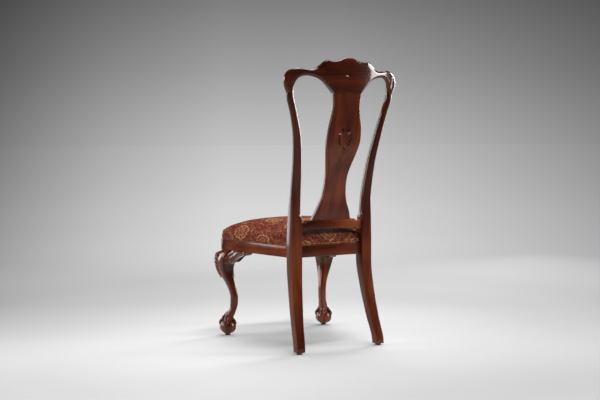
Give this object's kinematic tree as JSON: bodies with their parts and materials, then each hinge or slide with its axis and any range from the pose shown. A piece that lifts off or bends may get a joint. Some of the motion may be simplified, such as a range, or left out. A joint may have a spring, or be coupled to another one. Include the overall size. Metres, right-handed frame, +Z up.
{
  "type": "dining chair",
  "caption": "Wooden dining side chair: bowed crest rail, pierced vase splat, cabriole front legs with ball-and-claw feet, raked rear legs and an upholstered seat pad.",
  "frame": {"origin": "centre of the chair's outline in plan, on the floor under its feet", "axes": "+Z up, -Y the way the sitter faces, +X the sitter's left"},
  "size_m": [0.5338, 0.5776, 1.0814],
  "materials": {
    "mahogany": "glossy dark red-brown lacquer",
    "birch": "unfinished",
    "brocade": "woven, with gold figures on a red ground",
    "foam": "open-cell foam",
    "black_cloth": "thin woven dust cloth",
    "steel": "zinc plated",
    "nylon": "moulded"
  },
  "bodies": {
    "root": {"rear_post_left": "mahogany", "rear_post_right": "mahogany", "crest_rail": "mahogany", "crest_dowel_left": "birch", "crest_dowel_right": "birch", "shoe_rail": "mahogany", "back_splat": "mahogany", "front_seat_rail": "mahogany", "side_seat_rail_left": "mahogany", "side_seat_rail_right": "mahogany", "rear_seat_rail": "mahogany", "front_leg_left": "mahogany", "front_leg_right": "mahogany", "knee_bracket_front_left": "mahogany", "knee_bracket_front_right": "mahogany", "knee_bracket_side_left": "mahogany", "knee_bracket_side_right": "mahogany", "corner_block_front_left": "birch", "corner_block_front_right": "birch", "corner_block_rear_left": "birch", "corner_block_rear_right": "birch", "leg_bolt_left": "steel", "leg_bolt_right": "steel", "leg_nut_left": "steel", "leg_nut_right": "steel", "post_screw_left": "steel", "post_screw_right": "steel", "seat_screw_front_left": "steel", "seat_screw_front_right": "steel", "seat_screw_rear_left": "steel", "seat_screw_rear_right": "steel", "seat_board": "birch", "seat_foam": "foam", "seat_cover": "brocade", "dust_cover": "black_cloth", "glide_front_left": "nylon", "glide_front_right": "nylon", "glide_rear_left": "nylon", "glide_rear_right": "nylon"}
  },
  "joints": []
}
